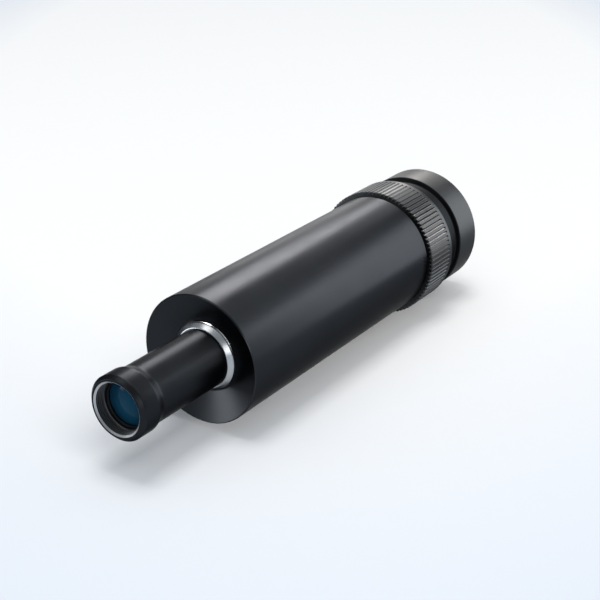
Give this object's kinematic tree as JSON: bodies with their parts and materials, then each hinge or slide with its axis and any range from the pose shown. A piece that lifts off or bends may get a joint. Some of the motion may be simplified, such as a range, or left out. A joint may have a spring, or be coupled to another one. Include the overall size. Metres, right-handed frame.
{
  "type": "telecentric lens",
  "caption": "Machine-vision telecentric lens: thick black barrel with a narrow sliding nose, a knurled focus ring and a threaded camera mount.",
  "frame": {"origin": "centre of the camera thread's end face, on the optical axis, at the bottom of the object", "axes": "+Z along the optical axis, from the camera thread to the nose; one of the three follower pins points along +X at rest"},
  "size_m": [0.0326, 0.0326, 0.1292],
  "materials": {
    "anodised_black": "satin black anodised",
    "knurled_black": "satin black anodised, knurled",
    "mount_black": "satin black anodised",
    "bright_steel": "finely turned and bright",
    "inner_black": "matte black anodised",
    "stop_black": "matte black",
    "pin_steel": "ground",
    "washer_plastic": "smooth, slippery",
    "seal_rubber": "soft matte",
    "coated_glass": "polished, with a blue coating",
    "clear_glass": "polished"
  },
  "bodies": {
    "barrel": {"main_barrel": "anodised_black", "c_mount": "mount_black", "guide_bush": "bright_steel", "nose_seal": "seal_rubber", "bush_retainer": "inner_black", "field_lens": "coated_glass", "field_lens_ring": "inner_black", "front_glide_washer": "washer_plastic", "rear_glide_washer": "washer_plastic"},
    "focus_ring": {"focus_ring": "knurled_black"},
    "nose": {"nose_tube": "anodised_black", "front_retaining_ring": "inner_black", "objective_crown": "coated_glass", "objective_flint": "clear_glass", "objective_spacer": "inner_black", "objective_singlet": "clear_glass", "lens_carrier": "inner_black", "follower_pins": "pin_steel", "aperture_stop": "stop_black", "stop_spacer": "inner_black", "rear_singlet": "clear_glass", "rear_spacer": "inner_black", "rear_crown": "clear_glass", "rear_flint": "clear_glass", "rear_retaining_ring": "inner_black"}
  },
  "joints": [
    {"name": "focus_ring_turn", "type": "hinge", "parent": "barrel", "child": "focus_ring", "pos_m": [0, 0, 0.0232], "axis": [0, 0, 1], "range_deg": [-60, 60]},
    {"name": "nose_slide", "type": "slide", "parent": "barrel", "child": "nose", "axis": [0, 0, 1], "range_m": [-0.0015, 0.0015]}
  ],
  "couplings": [
    {"joint": "focus_ring_turn", "follows": "nose_slide", "rad_per_m": 698.13}
  ]
}
